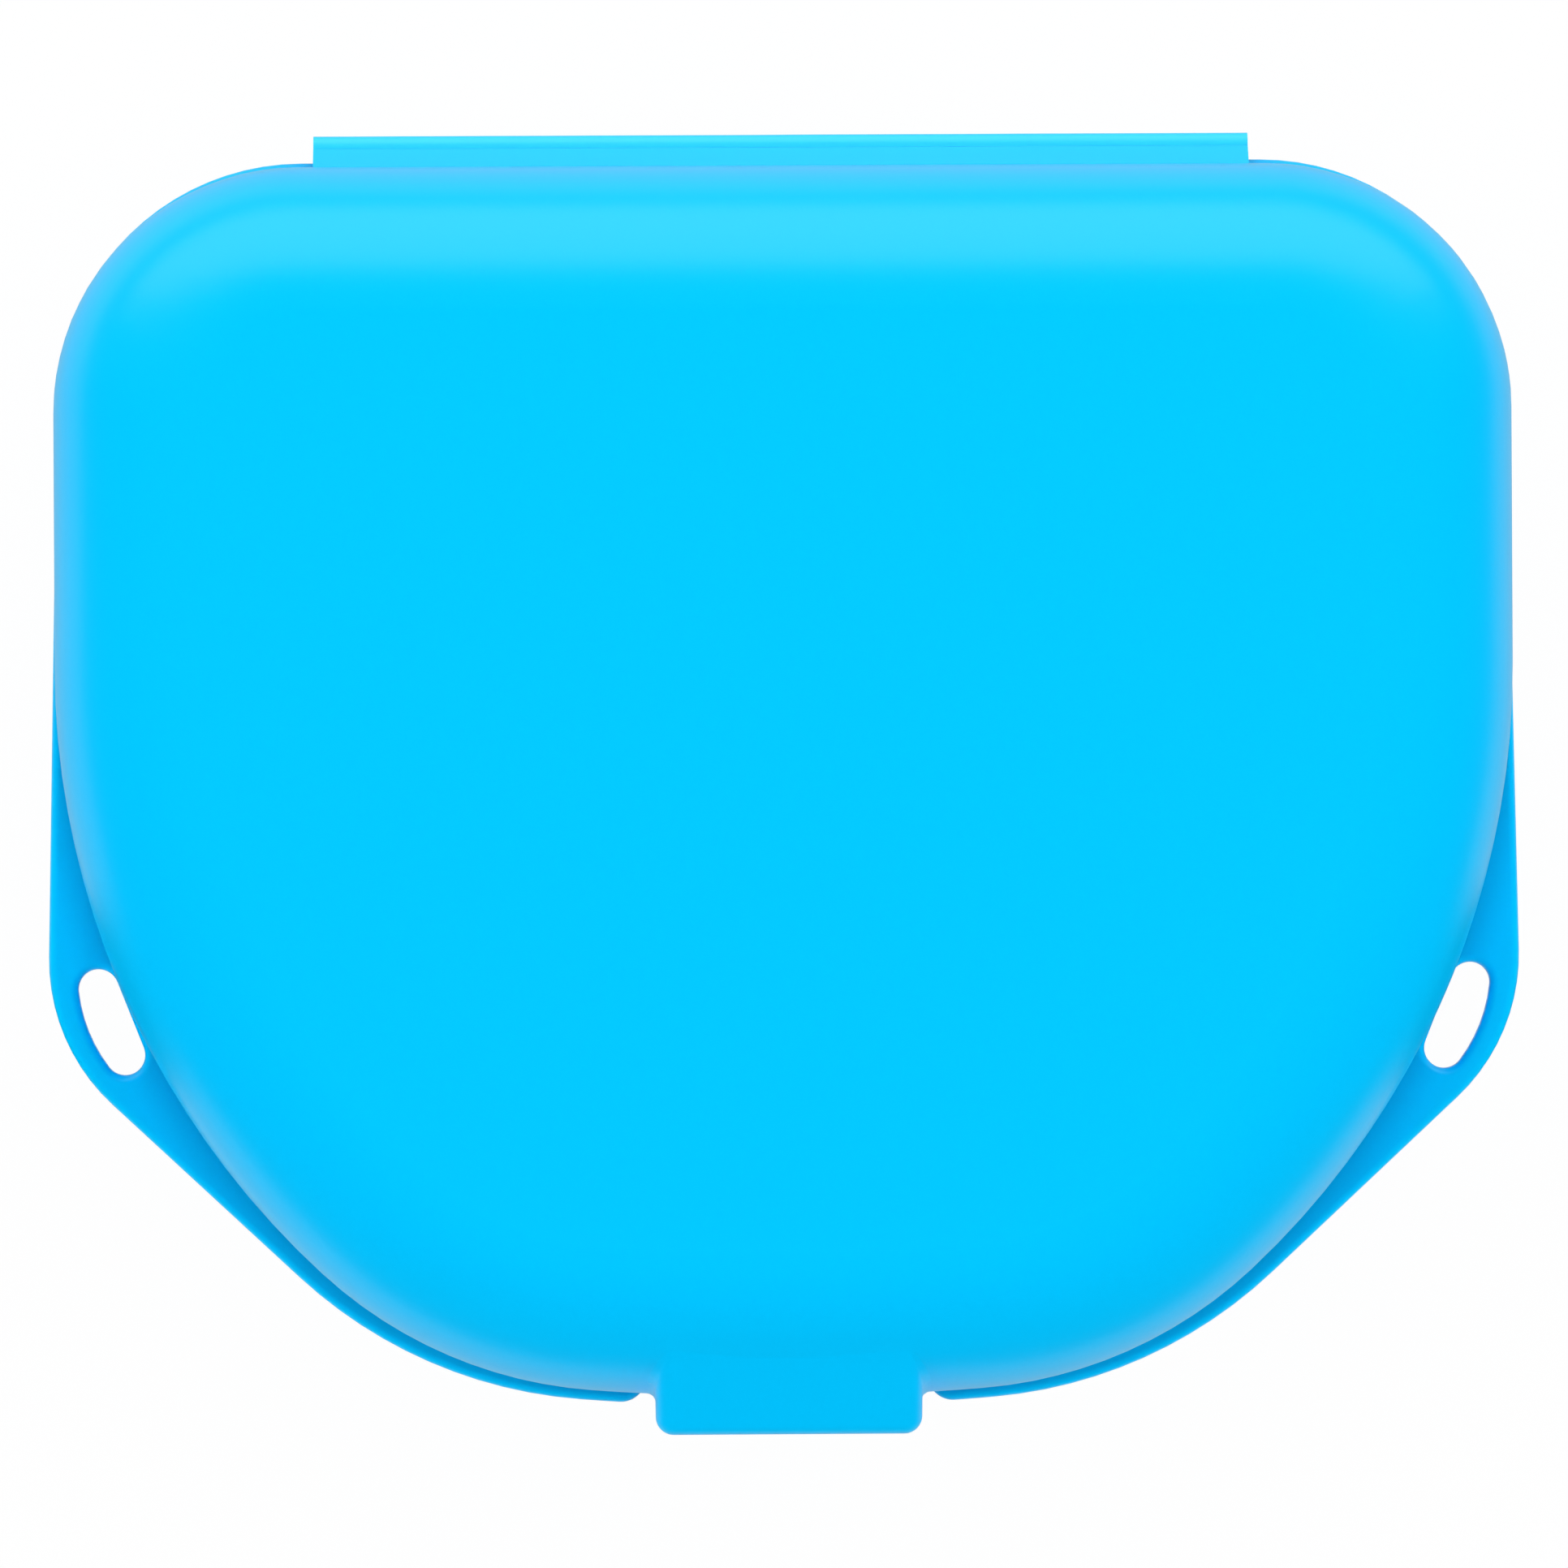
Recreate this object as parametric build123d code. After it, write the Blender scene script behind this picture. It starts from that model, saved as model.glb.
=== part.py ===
from build123d import *
import os
from math import acos, atan2, cos, degrees, hypot, pi, radians, sin, sqrt, tan

# Retainer case: a clamshell moulded in one piece of polypropylene, with a D-shaped tray, a lid that
# turns on a living hinge along the straight back, and a snap latch that hangs from the lid's front.
# Millimetres. +X right, +Y towards the hinge, +Z up, closed, standing on its flat underside.
# The outlines are drawn with y = 0 where the side bows start, and every piece is moved at the end so
# that the origin is under the middle of the closed case.

# Lid outline, one side: back corner, short straight side, long bow, front corner, shallow nose
lid_width = 81.05
side_straight = 14.1
back_corner_radius = 13.75
bow_radius = 45.9
bow_sweep = 47.2            # degrees
front_corner_radius = 24.8
nose_radius = 142.8

# Heights above the table
base_height = 14.0          # parting plane between tray and lid
lid_height = 12.0

# Shells
lid_wall = 1.3
lid_roof = 1.3
lid_draft = 2.0             # degrees
crown_radius = 8.2          # outer edge between the lid's roof and its wall
lid_rim_round = 0.9         # leaves a groove between the lid and the flange
base_wall = 1.4
base_floor = 1.5
base_draft = 3.0            # degrees
base_inset = 0.8            # tray wall inside the lid's outline
foot_radius = 4.6           # outer edge between the tray's wall and its floor

# Sealing lip that stands on the tray's rim, inside the lid's wall
lip_height = 1.6
lip_gap = 0.2
lip_round = 0.2

# Rim flange with its two ears
flange_thickness = 1.5
flange_side_inset = 0.07    # inside the lid along the straight sides
flange_back_margin = 0.35   # beyond the lid's back
flange_front_margin = 1.15  # beyond the lid at the front corners
flange_front_ease = 0.5     # by which that margin shrinks towards the middle of the front
flange_round = 0.45
ear_radius = 11.0
ear_rim = 1.33              # from the slot's outer side to the ear's edge

# Lanyard slot in each ear, set along the bow, straight inside and bowed outside
slot_length = 6.2
slot_end_radius = 1.13
slot_bow_radius = 8.5
slot_gap = 0.2              # slot's inner side beyond the lid's outline
slot_angle = 24.6           # degrees round the bow
slot_turn = 3.0             # degrees by which its front end leans out from the lid

# Hinge: two tapered ledges joined by a thin folded film
hinge_width = 52.1
hinge_reach = 1.83          # fold of the film beyond the lid's back
film_thickness = 0.35
film_offset = 0.3           # middle of the film from the parting plane
film_half_length = 0.75     # from a ledge's end to the hinge line
ledge_end_height = 0.55
ledge_root_height = 1.5

# Snap latch
tab_width = 14.7
tab_reach = 1.79            # front face beyond the lid's front
tab_slope = 30.0            # degrees, of the roof that leads out to the latch
tab_thickness = 1.2
tab_edge_round = 1.0
roof_sink = 0.24            # by which the roof's top end is buried in the crown
tab_root_round = 0.3        # inner corner where the latch bends
tab_fillet = 0.5            # where the latch's sides leave the lid
tab_drop = 5.2              # lower end below the parting plane
flap_length = 8.2           # from the lower end up to the bend
hook_height = 2.4
hook_nose = 0.6
hook_reach = 0.75
hook_lead = 0.2
hook_round = 0.25

# Catch on the front of the tray, and the notch in the flange that lets the latch pass
catch_width = 12.0
catch_gap = 0.3             # catch to the latch's inner face
catch_height = 1.8
catch_nose = 0.5
catch_play = 0.2            # catch to the hook below it
notch_width = 16.0          # at its floor
notch_slant = 45.0          # degrees by which its sides open outwards
notch_inset = 0.3           # floor of the notch inside the lid's front
notch_outer_round = 1.4
notch_inner_round = 0.2

# Edges are picked by their place, to within this distance
near = 0.01
# A shorter stretch of the nose beside the notch, in degrees, is drawn as part of the front corner
shortest_nose = 0.6

# Worked out from the sizes above
half_width = lid_width / 2
corner_x = half_width - back_corner_radius
lid_back = side_straight + back_corner_radius
bow_x = half_width - bow_radius
front_corner_x = bow_x + (bow_radius - front_corner_radius) * cos(radians(bow_sweep))
front_corner_y = -(bow_radius - front_corner_radius) * sin(radians(bow_sweep))
slot_reach = bow_radius + slot_gap + slot_end_radius
slot_x = bow_x + slot_reach * cos(radians(slot_angle))
slot_y = -slot_reach * sin(radians(slot_angle))
slot_half = slot_length / 2 - slot_end_radius
slot_drop = sqrt((slot_bow_radius - slot_end_radius) ** 2 - slot_half ** 2)
ear_inset = ear_radius - ear_rim - (slot_bow_radius - slot_drop)
ear_x = slot_x - ear_inset * cos(radians(slot_angle))
ear_y = slot_y + ear_inset * sin(radians(slot_angle))
nose_start = degrees(acos(front_corner_x / (nose_radius - front_corner_radius)))
nose_y = front_corner_y + (nose_radius - front_corner_radius) * sin(radians(nose_start))
lid_front = nose_y - nose_radius
lid_top = base_height + lid_height
hinge_line = lid_back + hinge_reach
ledge_end = hinge_line - film_half_length
tab_front = lid_front - tab_reach
tab_inner = tab_front + tab_thickness
tab_bottom = base_height - tab_drop
hook_top = tab_bottom + hook_height
middle_y = (hinge_line + tab_front) / 2

# Where the latch's sloping roof leaves the rounded crown of the lid, just under its surface
crown_z = lid_top - crown_radius
crown_y = (lid_front + (crown_z - base_height) * tan(radians(lid_draft))
           + crown_radius / cos(radians(lid_draft)))
roof_reach = crown_radius - roof_sink
roof_start = (crown_y - roof_reach * sin(radians(tab_slope)),
              crown_z + roof_reach * cos(radians(tab_slope)))
roof_rise = tan(radians(tab_slope))
tab_top = roof_start[1] - (roof_start[0] - tab_front) * roof_rise
bend_z = tab_bottom + flap_length
flex_z = bend_z - tab_root_round


def lid_outline(grow):
    """D-shaped face of the lid's outline, moved outwards by grow."""
    right = [
        CenterArc((front_corner_x, front_corner_y), front_corner_radius + grow,
                  -nose_start, nose_start - bow_sweep),
        CenterArc((bow_x, 0), bow_radius + grow, -bow_sweep, bow_sweep),
        Line((half_width + grow, 0), (half_width + grow, side_straight)),
        CenterArc((corner_x, side_straight), back_corner_radius + grow, 0, 90),
    ]
    left = [mirror(edge, Plane.YZ) for edge in right]
    nose = CenterArc((0, nose_y), nose_radius + grow, nose_start - 180, 180 - 2 * nose_start)
    back = Line((corner_x, lid_back + grow), (-corner_x, lid_back + grow))
    return make_face([nose, *right, back, *left])


def cup(grow, mouth_z, end_z, draft, edge_radius):
    """Solid D that narrows by its draft from its mouth to its end, with a rounded end edge."""
    block = extrude(Pos(0, 0, mouth_z) * lid_outline(grow), end_z - mouth_z, taper=draft)
    far = block.faces().sort_by(lambda face: abs(face.center().Z - end_z))[0]
    return fillet(far.edges(), edge_radius)


def side_profile(points, width):
    """Solid of an outline in the YZ plane, centred on x = 0 and width wide."""
    outline = make_face(Polyline(*points, close=True))
    return extrude(Plane.YZ * outline, width / 2, both=True)


def lanyard_slot():
    """Slot of the right ear, as a face."""
    turn = degrees(atan2(slot_half, slot_drop))
    profile = [
        CenterArc((0, -slot_drop), slot_bow_radius, 90 - turn, 2 * turn),
        CenterArc((-slot_half, 0), slot_end_radius, 90 + turn, 180 - turn),
        Line((-slot_half, -slot_end_radius), (slot_half, -slot_end_radius)),
        CenterArc((slot_half, 0), slot_end_radius, -90, 180 - turn),
    ]
    return Pos(slot_x, slot_y) * Rot(0, 0, slot_turn - slot_angle - 90) * make_face(profile)


def around(circle, angle):
    """Point of a circle, given as (centre, radius), at an angle in degrees."""
    (x, y), radius = circle
    return x + radius * cos(radians(angle)), y + radius * sin(radians(angle))


def tangent_angle(first, second):
    """Angle at which the right-hand tangent from one circle to the next touches both."""
    (x1, y1), radius1 = first
    (x2, y2), radius2 = second
    heading = degrees(atan2(y2 - y1, x2 - x1))
    return heading + degrees(acos((radius1 - radius2) / hypot(x2 - x1, y2 - y1)))


def notch_side(rim):
    """Right side of the latch's notch, from its floor out to a circle, and the angle where it ends."""
    (rim_x, rim_y), rim_radius = rim
    floor = lid_front + notch_inset
    half = notch_width / 2
    slant = radians(notch_slant)
    ease = notch_inner_round * tan(radians(90 - notch_slant) / 2)
    x = half + notch_outer_round * cos(slant) - rim_x
    y = floor + notch_outer_round * sin(slant) - rim_y
    along = x * sin(slant) - y * cos(slant)
    run = sqrt(along ** 2 - x ** 2 - y ** 2 + (rim_radius - notch_outer_round) ** 2) - along
    x += run * sin(slant)
    y -= run * cos(slant)
    end = degrees(atan2(y, x))
    side = [
        CenterArc((half - ease, floor - notch_inner_round), notch_inner_round,
                  notch_slant, 90 - notch_slant),
        Line((half + ease * sin(slant), floor - ease * cos(slant)),
             (half + run * sin(slant), floor - run * cos(slant))),
        CenterArc((rim_x + x, rim_y + y), notch_outer_round, notch_slant - 180, end - notch_slant + 180),
    ]
    return side, end


def flange_outline():
    """Outline of the flange: corners and ears joined by tangents, and a nose with the latch's notch."""
    back = ((corner_x, side_straight + flange_back_margin + flange_side_inset),
            back_corner_radius - flange_side_inset)
    ear = ((ear_x, ear_y), ear_radius)
    front = ((front_corner_x + flange_front_ease, front_corner_y + flange_front_ease),
             front_corner_radius + flange_front_margin)
    rise = nose_radius - front_corner_radius
    turn = degrees(acos(front[0][0] / rise))
    nose = ((0, front[0][1] + rise * sin(radians(turn))), nose_radius + flange_front_margin)
    side_angle = tangent_angle(back, ear)
    front_angle = tangent_angle(ear, front) % 360 - 360
    notch, start = notch_side(nose)
    if start < -turn - shortest_nose:
        arcs = [CenterArc(*nose, start, -turn - start), CenterArc(*front, -turn, turn + front_angle)]
    else:
        notch, start = notch_side(front)
        arcs = [CenterArc(*front, start, front_angle - start)]
    right = [
        *notch,
        *arcs,
        Line(around(front, front_angle), around(ear, front_angle)),
        CenterArc(*ear, front_angle, side_angle - front_angle),
        Line(around(ear, side_angle), around(back, side_angle)),
        CenterArc(*back, side_angle, 90 - side_angle),
    ]
    left = [mirror(edge, Plane.YZ) for edge in right]
    floor = Line(left[0] @ 1, right[0] @ 1)
    closing = Line(around(back, 90), (-corner_x, lid_back + flange_back_margin))
    return make_face([floor, *right, closing, *left])


def flange_plate():
    """Flange with its slots and the latch's notch, rounded along every rim."""
    slot = lanyard_slot()
    outline = flange_outline() - slot - mirror(slot, Plane.YZ)
    plate = extrude(Pos(0, 0, base_height - flange_thickness) * outline, flange_thickness)
    rims = plate.edges().filter_by(lambda e: e.bounding_box().size.Z < near)
    return fillet(rims, flange_round)


def hinge_ledge(up):
    """Ledge on the parting plane that tapers out to the film: up is 1 for the lid, -1 for the tray."""
    inside = lid_back - lid_wall / 2
    points = [
        (inside, base_height),
        (ledge_end, base_height),
        (ledge_end, base_height + up * ledge_end_height),
        (lid_back, base_height + up * ledge_root_height),
        (inside, base_height + up * ledge_root_height),
    ]
    return side_profile(points, hinge_width)


def sealing_lip():
    """Thin wall round the tray's mouth that reaches up inside the lid."""
    outer = lid_outline(-(lid_wall + lip_gap))
    ring = extrude(Pos(0, 0, base_height) * outer, lip_height)
    return fillet(ring.faces().sort_by(Axis.Z)[-1].edges(), lip_round)


def catch():
    """Ridge on the tray's front that the hook snaps under."""
    wall = lid_front + base_inset + base_wall / 2
    nose = tab_inner + catch_gap
    low = hook_top + catch_play
    middle = low + (catch_height - catch_nose) / 3
    points = [
        (wall, low),
        (nose, middle),
        (nose, middle + catch_nose),
        (wall, low + catch_height),
    ]
    return side_profile(points, catch_width)


def base_shell():
    """Tray with its flange, ears, sealing lip, catch and half of the hinge."""
    flange_z = base_height - flange_thickness
    body = cup(-base_inset, flange_z, 0, base_draft, foot_radius)
    shell = flange_plate() + body + sealing_lip() + catch() + hinge_ledge(-1)
    inner = -(base_inset + base_wall)
    hollow = cup(inner, flange_z, base_floor, base_draft, foot_radius - base_wall)
    mouth = extrude(Pos(0, 0, flange_z) * lid_outline(inner), flange_thickness + 2 * lip_height)
    return shell - hollow - mouth


def latch_blank():
    """Sloping roof, bend, flap and hook of the snap latch, as one solid before it is divided."""
    hook_tip = tab_inner + hook_reach
    buried = lid_front + lid_wall
    points = [
        roof_start,
        (tab_front, tab_top),
        (tab_front, tab_bottom),
        (tab_inner + hook_lead, tab_bottom),
        (hook_tip, hook_top - hook_nose),
        (hook_tip, hook_top),
        (tab_inner, hook_top),
        (tab_inner, bend_z),
        (buried, bend_z),
    ]
    blank = side_profile(points, tab_width)
    half = tab_width / 2
    uprights = blank.edges().filter_by(
        lambda e: abs(abs(e.center().X) - half) < near and abs(e.center().Y - tab_front) < near)
    front_top = blank.edges().filter_by(
        lambda e: abs(e.center().X) < near and abs(e.center().Y - tab_front) < near
        and abs(e.center().Z - tab_top) < near)
    roof_middle = (roof_start[0] + tab_front) / 2
    roof_sides = blank.edges().filter_by(
        lambda e: abs(abs(e.center().X) - half) < near and abs(e.center().Y - roof_middle) < near
        and e.center().Z > tab_top)
    blank = fillet([*uprights, *front_top, *roof_sides], tab_edge_round)
    bend = blank.edges().filter_by(
        lambda e: abs(e.center().Y - tab_inner) < near and abs(e.center().Z - bend_z) < near)
    blank = fillet(bend, tab_root_round)
    tip = blank.edges().filter_by(Axis.X).filter_by(lambda e: abs(e.center().Y - hook_tip) < near)
    return fillet(tip, hook_round)


def lid_shell():
    """Lid with the latch's roof and bend, and half of the hinge."""
    body = cup(0, base_height, lid_top, lid_draft, crown_radius)
    body = fillet(body.faces().sort_by(Axis.Z)[0].edges(), lid_rim_round)
    body += split(latch_blank(), Plane.XY.offset(flex_z), keep=Keep.TOP)
    half = tab_width / 2
    seams = body.edges().filter_by(
        lambda e: half - tab_edge_round / 2 < abs(e.center().X) < half + near
        and e.center().Y > lid_front and e.center().Z > bend_z and e.geom_type != GeomType.LINE)
    wall = nose_y - sqrt(nose_radius ** 2 - half ** 2)
    wall += (bend_z - base_height) * tan(radians(lid_draft))
    room = wall - tab_inner - tab_root_round
    body = fillet(seams, min(tab_fillet, 0.9 * room))
    hollow = cup(-lid_wall, base_height, lid_top - lid_roof, lid_draft, crown_radius - lid_wall)
    return body + hinge_ledge(1) - hollow


def latch_tab():
    """Flap of the latch with its hook, below the bend."""
    return split(latch_blank(), Plane.XY.offset(flex_z), keep=Keep.BOTTOM)


def hinge_film():
    """Thin web folded like a hairpin between the two ledges."""
    straight = film_half_length - pi * film_offset / 2
    fold = ledge_end + straight
    legs = [
        Pos((ledge_end + fold) / 2, base_height + up * film_offset) * Rectangle(straight, film_thickness)
        for up in (-1, 1)
    ]
    outer = Circle(film_offset + film_thickness / 2)
    inner = Circle(film_offset - film_thickness / 2)
    bend = Pos(fold, base_height) * (outer - inner)
    bend = split(bend, Plane.YZ.offset(fold), keep=Keep.TOP)
    return extrude(Plane.YZ * (bend + legs[0] + legs[1]), hinge_width / 2, both=True)


pieces = {
    "base_shell": base_shell(),
    "lid_shell": lid_shell(),
    "hinge_film": hinge_film(),
    "latch_tab": latch_tab(),
}

os.makedirs("parts", exist_ok=True)
for name, piece in pieces.items():
    export_step(Pos(0, -middle_y, 0) * piece, f"parts/{name}.step")
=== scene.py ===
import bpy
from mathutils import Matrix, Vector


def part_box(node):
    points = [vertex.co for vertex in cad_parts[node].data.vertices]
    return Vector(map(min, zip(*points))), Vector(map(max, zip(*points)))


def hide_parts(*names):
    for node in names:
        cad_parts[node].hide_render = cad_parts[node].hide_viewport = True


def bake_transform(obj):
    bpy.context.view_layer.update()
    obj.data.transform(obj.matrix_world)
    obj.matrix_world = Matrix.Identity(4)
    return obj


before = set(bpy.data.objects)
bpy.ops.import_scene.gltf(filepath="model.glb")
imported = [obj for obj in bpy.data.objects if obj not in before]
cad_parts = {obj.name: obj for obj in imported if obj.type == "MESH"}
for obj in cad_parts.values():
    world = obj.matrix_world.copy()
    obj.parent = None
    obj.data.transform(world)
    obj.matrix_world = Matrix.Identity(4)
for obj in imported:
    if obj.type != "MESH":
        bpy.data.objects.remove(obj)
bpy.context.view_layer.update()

from math import atan2, pi, radians

import bmesh
import bpy
from mathutils import Vector

# Retainer case moulded in one piece of blue polypropylene, seen from straight above.
# Metres, in the frame of the CAD model: +X right, +Y towards the hinge, +Z up.
scene = bpy.context.scene
mm = 0.001
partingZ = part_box("hinge_film")[0][2] / 2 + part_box("hinge_film")[1][2] / 2


def linearColour(hexText):
    channels = [int(hexText[i:i + 2], 16) / 255 for i in (1, 3, 5)]
    return (*[c / 12.92 if c <= 0.04045 else ((c + 0.055) / 1.055) ** 2.4 for c in channels], 1)


def addNode(tree, kind, inputs=None, **settings):
    node = tree.nodes.new(kind)
    for name, value in settings.items():
        setattr(node, name, value)
    for key, value in (inputs or {}).items():
        if isinstance(value, bpy.types.NodeSocket):
            tree.links.new(value, node.inputs[key])
        else:
            node.inputs[key].default_value = value
    return node


def newMaterial(name):
    material = bpy.data.materials.new(name)
    material.use_nodes = True
    material.node_tree.nodes.clear()
    return material, material.node_tree


# Moulded polypropylene: an opaque pigment under a satin skin copied from a fine-blasted mould.
# It gives flat, even blue where it faces the eye and a soft white sheen where it turns away.
plastic = {
    "colour": "#00C3FF",
    # paler blue of the hinge film, a painted highlight
    "filmHighlightColour": "#30D0FF",
    "ior": 1.49,
    "roughness": 0.3,
    "grainSize": 0.35 * mm,
    "grainDepth": 0.012 * mm,
    "grainStrength": 0.5,
    # Painted shade: the next two set how far and how deeply ambient occlusion darkens the flange's colour
    # beside the lid
    "paintedShadeReach": 2.2 * mm,   # distance over which a neighbouring wall darkens the flange
    "paintedShadeDepth": 0.5,        # share of the colour that goes in the tightest corner
}


def mouldedPolypropylene(name, colour, paintedShadeDepth=0):
    material, tree = newMaterial(name)
    place = addNode(tree, "ShaderNodeTexCoord").outputs["Object"]
    grain = addNode(tree, "ShaderNodeTexNoise", {
        "Vector": place, "Scale": 1 / plastic["grainSize"], "Detail": 2, "Roughness": 0.5})
    bump = addNode(tree, "ShaderNodeBump", {
        "Height": grain.outputs["Fac"], "Distance": plastic["grainDepth"],
        "Strength": plastic["grainStrength"]})
    base = linearColour(colour)
    # Painted shade: the colour is darkened by ambient occlusion where other surfaces stand near
    if paintedShadeDepth:
        openness = addNode(tree, "ShaderNodeAmbientOcclusion", {
            "Distance": plastic["paintedShadeReach"]}, samples=8)
        shade = addNode(tree, "ShaderNodeMapRange", {
            "Value": openness.outputs["AO"], "To Min": 1 - paintedShadeDepth, "To Max": 1.0}).outputs[0]
        base = addNode(tree, "ShaderNodeVectorMath", {0: base[:3], "Scale": shade},
                       operation="SCALE").outputs[0]
    shader = addNode(tree, "ShaderNodeBsdfPrincipled", {
        "Base Color": base,
        "IOR": plastic["ior"],
        "Roughness": plastic["roughness"],
        "Normal": bump.outputs["Normal"]})
    addNode(tree, "ShaderNodeOutputMaterial", {"Surface": shader.outputs["BSDF"]})
    return material


bluePlastic = mouldedPolypropylene("moulded_polypropylene", plastic["colour"])
# The tray's plastic is the same, with painted shade: its colour is darkened by ambient occlusion in the
# corner between lid and flange
rimPlasticPaintedShade = mouldedPolypropylene("moulded_polypropylene_painted_shade", plastic["colour"], plastic["paintedShadeDepth"])
# The film of the hinge gets a paler copy of the blue plastic: a painted highlight
filmPaintedHighlight = mouldedPolypropylene("polypropylene_film_painted_highlight", plastic["filmHighlightColour"])
print("materials made")

for name, material in (("base_shell", rimPlasticPaintedShade), ("lid_shell", bluePlastic)):
    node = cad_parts[name]
    node.data.materials.clear()
    node.data.materials.append(material)

smoothAngle = 35


def smoothByAngle(piece):
    chosen = [piece]
    with bpy.context.temp_override(object=piece, selected_objects=chosen, selected_editable_objects=chosen):
        bpy.ops.object.shade_smooth_by_angle(angle=radians(smoothAngle))


# Flap of the snap latch: the moulded piece cut into rings at its root
flap = {
    "rootTop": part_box("latch_tab")[1][2],
    "bendLength": 1.0 * mm,
    "rings": 10,
    "weld": 0.002 * mm,
}


def buildFlap():
    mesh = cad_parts["latch_tab"].data.copy()
    form = bmesh.new()
    form.from_mesh(mesh)
    bmesh.ops.remove_doubles(form, verts=form.verts, dist=flap["weld"])
    for i in range(1, flap["rings"] + 1):
        height = flap["rootTop"] - flap["bendLength"] * i / flap["rings"]
        bmesh.ops.bisect_plane(form, geom=[*form.verts, *form.edges, *form.faces],
                               plane_co=(0, 0, height), plane_no=(0, 0, 1))
    form.to_mesh(mesh)
    form.free()
    mesh.materials.clear()
    mesh.materials.append(bluePlastic)
    piece = bpy.data.objects.new("latch_flap", mesh)
    scene.collection.objects.link(piece)
    smoothByAngle(piece)
    return piece


def setInputs(modifier, values):
    for item in modifier.node_group.interface.items_tree:
        if item.item_type == "SOCKET" and item.in_out == "INPUT" and item.name in values:
            modifier[item.identifier] = values[item.name]


def bake(piece):
    result = bpy.data.meshes.new_from_object(piece.evaluated_get(bpy.context.evaluated_depsgraph_get()))
    piece.modifiers.clear()
    piece.data = result
    return piece


# Film of the living hinge: a thin web folded like a hairpin, its fold slightly uneven along the case
film = {
    "width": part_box("hinge_film")[1][0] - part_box("hinge_film")[0][0],
    "thickness": 0.35 * mm,
    "root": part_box("hinge_film")[0][1],
    "fold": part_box("hinge_film")[1][1],
    "legHeight": 0.34 * mm,      # middle of each leg above or below the parting plane, at its root
    "unevenness": 0.03 * mm,
    "waveLength": 9 * mm,
    "stepLength": 0.4 * mm,
    "foldSteps": 20,
    "foldBand": 0.125 * mm,      # to each side of the parting plane, where the web follows both shells
}


def filmTree():
    tree = bpy.data.node_groups.new("folded_film", "GeometryNodeTree")
    for name in ("width", "root", "fold", "legHeight", "unevenness", "waveLength", "stepLength"):
        tree.interface.new_socket(name, in_out="INPUT", socket_type="NodeSocketFloat")
    tree.interface.new_socket("foldSteps", in_out="INPUT", socket_type="NodeSocketInt")
    tree.interface.new_socket("material", in_out="INPUT", socket_type="NodeSocketMaterial")
    tree.interface.new_socket("Geometry", in_out="OUTPUT", socket_type="NodeSocketGeometry")
    given = tree.nodes.new("NodeGroupInput").outputs
    half = addNode(tree, "ShaderNodeMath", {0: given["width"], 1: 0.5}, operation="MULTIPLY").outputs[0]
    minus = addNode(tree, "ShaderNodeMath", {0: given["width"], 1: -0.5}, operation="MULTIPLY").outputs[0]
    length = addNode(tree, "ShaderNodeMath", {0: given["fold"], 1: given["root"]}, operation="SUBTRACT")
    # A cubic curve with both handles at the same reach goes three quarters of the way to them
    reach = addNode(tree, "ShaderNodeMath", {
        0: length.outputs[0], 1: 4 / 3}, operation="MULTIPLY").outputs[0]
    low = addNode(tree, "ShaderNodeMath", {
        0: given["legHeight"], 1: -1}, operation="MULTIPLY").outputs[0]
    corner = [addNode(tree, "ShaderNodeCombineXYZ", values).outputs[0] for values in (
        {"Y": given["legHeight"]}, {"X": reach, "Y": given["legHeight"]},
        {"X": reach, "Y": low}, {"Y": low})]
    profile = addNode(tree, "GeometryNodeCurvePrimitiveBezierSegment", {
        "Resolution": given["foldSteps"], "Start": corner[0], "Start Handle": corner[1],
        "End Handle": corner[2], "End": corner[3]}, mode="POSITION")
    first = addNode(tree, "ShaderNodeCombineXYZ", {"X": half, "Y": given["root"], "Z": partingZ})
    last = addNode(tree, "ShaderNodeCombineXYZ", {"X": minus, "Y": given["root"], "Z": partingZ})
    line = addNode(tree, "GeometryNodeCurvePrimitiveLine", {
        "Start": first.outputs[0], "End": last.outputs[0]})
    path = addNode(tree, "GeometryNodeResampleCurve", {
        "Curve": line.outputs[0], "Length": given["stepLength"]}, mode="LENGTH")
    sweep = addNode(tree, "GeometryNodeCurveToMesh", {
        "Curve": path.outputs[0], "Profile Curve": profile.outputs[0]})
    place = addNode(tree, "GeometryNodeInputPosition").outputs[0]
    parts = addNode(tree, "ShaderNodeSeparateXYZ", {0: place}).outputs
    waves = addNode(tree, "ShaderNodeMath", {0: parts["X"], 1: given["waveLength"]}, operation="DIVIDE")
    noise = addNode(tree, "ShaderNodeTexNoise", {"W": waves.outputs[0], "Scale": 1, "Detail": 3},
                    noise_dimensions="1D")
    swing = addNode(tree, "ShaderNodeMath", {0: noise.outputs[0], 1: 1}, operation="SUBTRACT").outputs[0]
    depth = addNode(tree, "ShaderNodeMapRange", {
        "Value": parts["Y"], "From Min": given["root"], "From Max": given["fold"],
        "To Max": given["unevenness"]})
    shift = addNode(tree, "ShaderNodeMath", {
        0: swing, 1: depth.outputs[0]}, operation="MULTIPLY").outputs[0]
    offset = addNode(tree, "ShaderNodeCombineXYZ", {"Y": shift}).outputs[0]
    moved = addNode(tree, "GeometryNodeSetPosition", {0: sweep.outputs[0], "Offset": offset})
    plain = addNode(tree, "GeometryNodeRealizeInstances", {0: moved.outputs[0]})
    painted = addNode(tree, "GeometryNodeSetMaterial", {
        0: plain.outputs[0], "Material": given["material"]})
    addNode(tree, "NodeGroupOutput", {0: painted.outputs[0]})
    return tree


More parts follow.
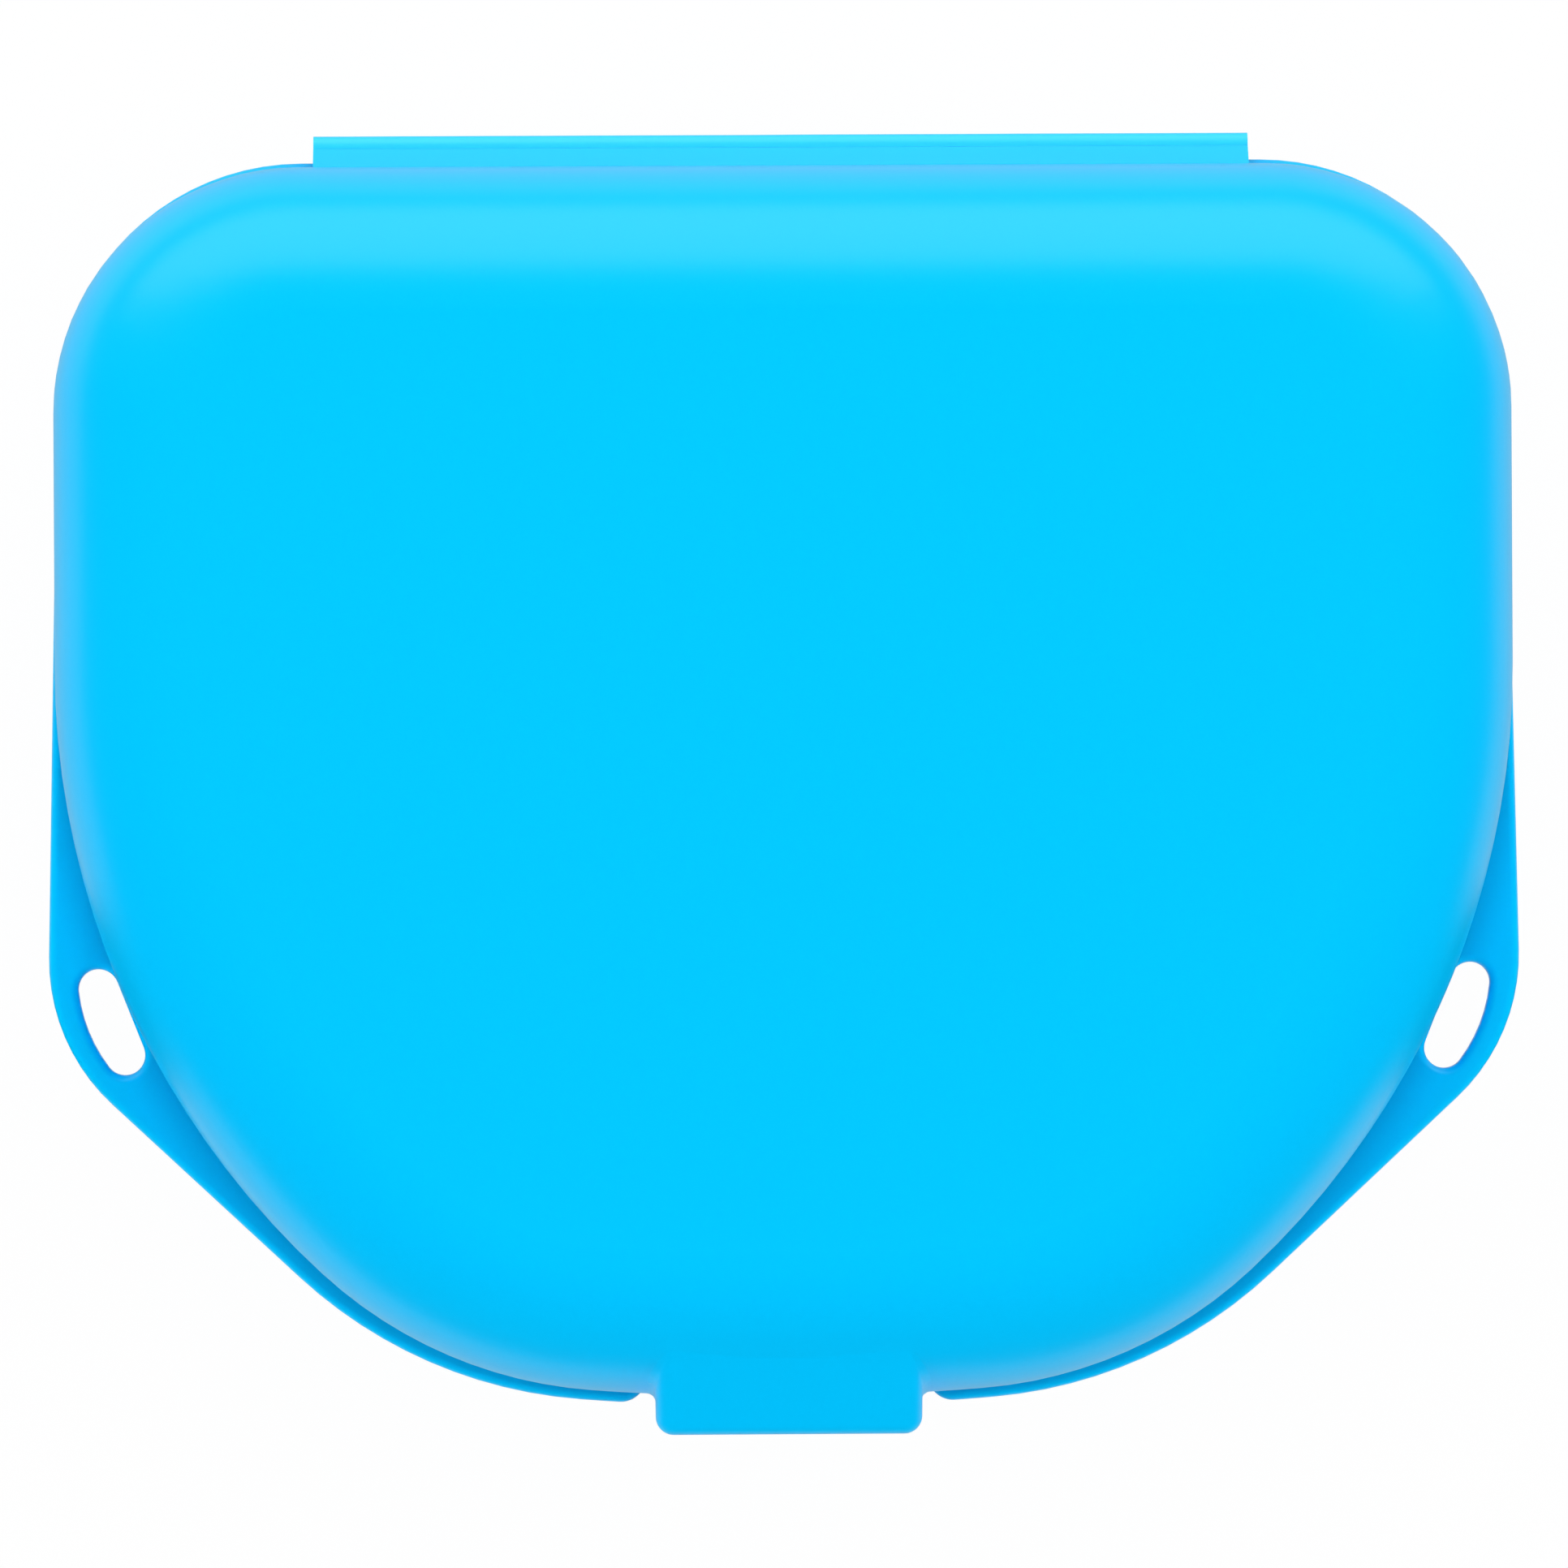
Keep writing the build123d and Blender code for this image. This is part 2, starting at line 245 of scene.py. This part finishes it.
def buildFilm():
    piece = bpy.data.objects.new("hinge_web", bpy.data.meshes.new("hinge_web"))
    scene.collection.objects.link(piece)
    piece.data.materials.append(filmPaintedHighlight)
    modifier = piece.modifiers.new("folded film", "NODES")
    modifier.node_group = filmTree()
    setInputs(modifier, {**film, "material": filmPaintedHighlight, "fold": film["fold"] - film["thickness"] / 2})
    wall = piece.modifiers.new("wall", "SOLIDIFY")
    wall.thickness = film["thickness"]
    wall.offset = 0
    wall.use_even_offset = True
    bake(piece)
    form = bmesh.new()
    form.from_mesh(piece.data)
    bmesh.ops.recalc_face_normals(form, faces=form.faces)
    form.to_mesh(piece.data)
    form.free()
    smoothByAngle(piece)
    return piece


hingeWeb = buildFilm()
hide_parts("hinge_film")
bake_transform(hingeWeb)
print("hinge web made")

latchFlap = buildFlap()
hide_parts("latch_tab")
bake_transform(latchFlap)
print("latch flap made")

# Lamps, table, world and camera
light = {
    # Soft lamps of a light tent, which don't show in the plastic's gloss: strength on a surface that
    # faces the lamp, where 1 is white, the heading that the lamp stands at, and its elevation, in degrees
    "tent": {
        "above": (0.315, 0, 90),
        "left": (0.70, 180, 14),
        "right": (0.70, 0, 14),
        "back": (0.16, 90, 20),
        "front": (0.72, 270, 5),
    },
    "tentAngle": 60,           # how wide each lamp spreads, in degrees
    # Near lamp behind the case, which makes the lid a little brighter towards the hinge
    "nearPlace": (0, 170 * mm, 130 * mm),
    "nearSize": (200 * mm, 100 * mm),
    "nearPower": 0.075,
    "room": 0.02,              # light of the room that shows in the gloss, where 1 is white
    "box": 1.1,                # soft box behind the case
    "boxStart": 0.5,           # its edge, as the Y of a direction
    "boxFull": 0.68,
}
# Matt white paper under the case, which also throws light back up at its sides
floorLook = {
    "half": 1.5,               # half its width, in metres
    "colour": "#F4F4F4",
    "bounce": 0.52,            # light that the table gives the case from below
    "litMiddle": (-15 * mm, 12 * mm, 0),
    "litReach": 85 * mm,       # the lit part of the table, from the middle of the case
    "litEnd": 115 * mm,
    # Dark sectors of the table, one beside each ear. Their lines start from these two places, which
    # are given for the right ear and mirrored for the left.
    "sectorPlace": (-5.4 * mm, 6.4 * mm),
    "sectorAngle": -23.5,      # degrees, towards the front
    "sectorCore": 5.0,         # degrees to each side that are dark, and where they are fully lit again
    "sectorEnd": 9.0,
    "sectorStart": 47 * mm,    # from each place to just beyond the tray's wall
    "sectorFull": 53 * mm,
    "white": 0.97,             # share of the camera's view of the table that carries no shadow
}


def buildFloor():
    half = floorLook["half"]
    mesh = bpy.data.meshes.new("floor")
    mesh.from_pydata([(-half, -half, 0), (half, -half, 0), (half, half, 0), (-half, half, 0)], [],
                     [(0, 1, 2, 3)])
    material, tree = newMaterial("matt_white_paper")
    seen = addNode(tree, "ShaderNodeLightPath").outputs
    place = addNode(tree, "ShaderNodeTexCoord").outputs["Object"]
    away = addNode(tree, "ShaderNodeVectorMath", {
        0: place, 1: floorLook["litMiddle"]}, operation="DISTANCE").outputs["Value"]
    bounced = addNode(tree, "ShaderNodeMapRange", {
        "Value": away, "From Min": floorLook["litReach"], "From Max": floorLook["litEnd"],
        "To Min": floorLook["bounce"], "To Max": light["room"]}, interpolation_type="SMOOTHSTEP")
    parts = addNode(tree, "ShaderNodeSeparateXYZ", {"Vector": place}).outputs
    side = addNode(tree, "ShaderNodeMath", {0: parts["X"]}, operation="ABSOLUTE").outputs[0]
    across = addNode(tree, "ShaderNodeMath", {
        0: side, 1: floorLook["sectorPlace"][0]}, operation="SUBTRACT").outputs[0]
    along = addNode(tree, "ShaderNodeMath", {
        0: parts["Y"], 1: floorLook["sectorPlace"][1]}, operation="SUBTRACT").outputs[0]
    heading = addNode(tree, "ShaderNodeMath", {0: along, 1: across}, operation="ARCTAN2").outputs[0]
    beam = addNode(tree, "ShaderNodeCombineXYZ", {"X": across, "Y": along}).outputs[0]
    reach = addNode(tree, "ShaderNodeVectorMath", {0: beam}, operation="LENGTH").outputs["Value"]
    turned = addNode(tree, "ShaderNodeMath", {
        0: heading, 1: radians(floorLook["sectorAngle"])}, operation="SUBTRACT").outputs[0]
    off = addNode(tree, "ShaderNodeMath", {0: turned}, operation="ABSOLUTE").outputs[0]
    lit = addNode(tree, "ShaderNodeMapRange", {
        "Value": off, "From Min": radians(floorLook["sectorCore"]),
        "From Max": radians(floorLook["sectorEnd"])}, interpolation_type="SMOOTHSTEP").outputs[0]
    share = addNode(tree, "ShaderNodeMapRange", {
        "Value": reach, "From Min": floorLook["sectorStart"], "From Max": floorLook["sectorFull"],
        "To Min": 1.0, "To Max": lit}, interpolation_type="SMOOTHSTEP").outputs[0]
    level = addNode(tree, "ShaderNodeMath", {
        0: bounced.outputs[0], 1: share}, operation="MULTIPLY").outputs[0]
    paper = addNode(tree, "ShaderNodeBsdfDiffuse", {"Color": linearColour(floorLook["colour"])})
    white = addNode(tree, "ShaderNodeEmission", {"Strength": 1.0})
    glow = addNode(tree, "ShaderNodeEmission", {"Strength": level})
    shown = addNode(tree, "ShaderNodeMixShader", {
        0: floorLook["white"], 1: paper.outputs[0], 2: white.outputs[0]})
    mixed = addNode(tree, "ShaderNodeMixShader", {
        0: seen["Is Camera Ray"], 1: glow.outputs[0], 2: shown.outputs[0]})
    addNode(tree, "ShaderNodeOutputMaterial", {"Surface": mixed.outputs[0]})
    mesh.materials.append(material)
    floor = bpy.data.objects.new("floor", mesh)
    scene.collection.objects.link(floor)
    return floor


buildFloor()


def buildWorld():
    world = bpy.data.worlds.new("soft_white_room")
    scene.world = world
    world.use_nodes = True
    tree = world.node_tree
    tree.nodes.clear()
    direction = addNode(tree, "ShaderNodeTexCoord").outputs["Generated"]
    parts = addNode(tree, "ShaderNodeSeparateXYZ", {"Vector": direction})
    box = addNode(tree, "ShaderNodeMapRange", {
        "Value": parts.outputs["Y"], "From Min": light["boxStart"], "From Max": light["boxFull"],
        "To Min": light["room"], "To Max": light["box"]}, interpolation_type="SMOOTHSTEP")
    seen = addNode(tree, "ShaderNodeLightPath").outputs
    strength = addNode(tree, "ShaderNodeMix", {
        "Factor": seen["Is Camera Ray"], "A": box.outputs[0], "B": 1.0})
    background = addNode(tree, "ShaderNodeBackground", {
        "Color": (1, 1, 1, 1), "Strength": strength.outputs[0]})
    addNode(tree, "ShaderNodeOutputWorld", {"Surface": background.outputs[0]})


buildWorld()


def buildTent():
    for name, (strength, heading, elevation) in light["tent"].items():
        lamp = bpy.data.lights.new(name, "SUN")
        lamp.energy = strength * pi
        lamp.angle = radians(light["tentAngle"])
        lamp.cycles.use_multiple_importance_sampling = False
        panel = bpy.data.objects.new(name, lamp)
        panel.rotation_euler = (0, radians(90 - elevation), radians(heading))
        panel.visible_glossy = False
        scene.collection.objects.link(panel)


buildTent()


def buildNearLamp():
    lamp = bpy.data.lights.new("near_lamp", "AREA")
    lamp.shape = "RECTANGLE"
    lamp.size, lamp.size_y = light["nearSize"]
    lamp.energy = light["nearPower"]
    lamp.cycles.use_multiple_importance_sampling = False
    panel = bpy.data.objects.new("near_lamp", lamp)
    panel.location = light["nearPlace"]
    panel.rotation_euler = Vector(light["nearPlace"]).to_track_quat("Z", "Y").to_euler()
    panel.visible_glossy = False
    panel.visible_camera = False
    scene.collection.objects.link(panel)


buildNearLamp()

view = {
    "height": 0.550,           # above the parting plane
    "frameWidth": 87.48 * mm,  # seen at the parting plane
    "sensor": 36,              # in millimetres, as Blender takes it
    "roll": -0.3,
    "aimY": -0.155 * mm,
    "place": -8 * mm,          # a little to the left of the case
}


def buildCamera():
    data = bpy.data.cameras.new("camera")
    data.sensor_width = view["sensor"]
    data.lens = view["sensor"] * view["height"] / view["frameWidth"]
    camera = bpy.data.objects.new("camera", data)
    camera.location = (view["place"], view["aimY"], partingZ + view["height"])
    camera.rotation_euler = (0, atan2(view["place"], view["height"]), radians(view["roll"]))
    scene.collection.objects.link(camera)
    scene.camera = camera


buildCamera()
scene.view_settings.view_transform = "Standard"
print("floor, light and camera set")
